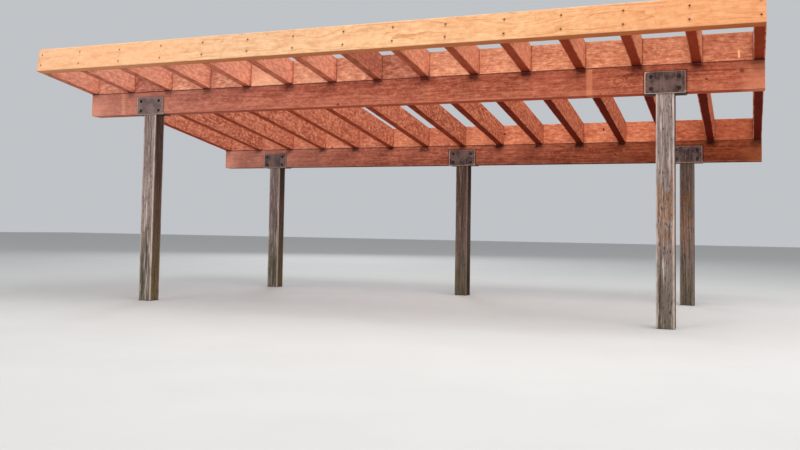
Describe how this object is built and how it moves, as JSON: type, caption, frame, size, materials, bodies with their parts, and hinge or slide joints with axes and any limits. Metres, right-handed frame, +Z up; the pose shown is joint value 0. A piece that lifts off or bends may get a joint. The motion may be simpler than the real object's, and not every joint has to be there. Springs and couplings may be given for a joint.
{
  "type": "wooden pergola",
  "caption": "Open timber pergola: sloping rafters with blocking and fascia timbers on two beams, held by steel saddles on square posts.",
  "frame": {"origin": "on the ground under the middle of the roof's plan, fascia timbers included", "axes": "+X along the beams, +Y from the high front to the low rear, +Z up"},
  "size_m": [6.921, 4.5394, 2.5963],
  "materials": {
    "post_timber": "weathered grey-brown sawn timber",
    "beam_timber": "red-brown stained rough-sawn timber",
    "rafter_timber": "red-brown stained rough-sawn timber",
    "fascia_board": "orange stained timber bleached by the sun",
    "saddle_steel": "dark bronze painted steel plate with a little rust",
    "bolt_steel": "dark weathered bolts, nuts, washers and screws"
  },
  "bodies": {
    "root": {"beam_front": "beam_timber", "beam_rear": "beam_timber", "blocking_bay_01": "rafter_timber", "blocking_bay_02": "rafter_timber", "blocking_bay_03": "rafter_timber", "blocking_bay_04": "rafter_timber", "blocking_bay_05": "rafter_timber", "blocking_bay_06": "rafter_timber", "blocking_bay_07": "rafter_timber", "blocking_bay_08": "rafter_timber", "blocking_bay_09": "rafter_timber", "blocking_bay_10": "rafter_timber", "blocking_bay_11": "rafter_timber", "blocking_bay_12": "rafter_timber", "blocking_bay_13": "rafter_timber", "blocking_bay_14": "rafter_timber", "fascia_front": "fascia_board", "fascia_rear": "fascia_board", "post_front_left": "post_timber", "post_front_right": "post_timber", "post_rear_left": "post_timber", "post_rear_middle": "post_timber", "post_rear_right": "post_timber", "rafter_01": "rafter_timber", "rafter_02": "rafter_timber", "rafter_03": "rafter_timber", "rafter_04": "rafter_timber", "rafter_05": "rafter_timber", "rafter_06": "rafter_timber", "rafter_07": "rafter_timber", "rafter_08": "rafter_timber", "rafter_09": "rafter_timber", "rafter_10": "rafter_timber", "rafter_11": "rafter_timber", "rafter_12": "rafter_timber", "rafter_13": "rafter_timber", "rafter_14": "rafter_timber", "rafter_15": "rafter_timber", "saddle_front_left": "saddle_steel", "saddle_front_right": "saddle_steel", "saddle_rear_left": "saddle_steel", "saddle_rear_middle": "saddle_steel", "saddle_rear_right": "saddle_steel"}
  },
  "joints": []
}
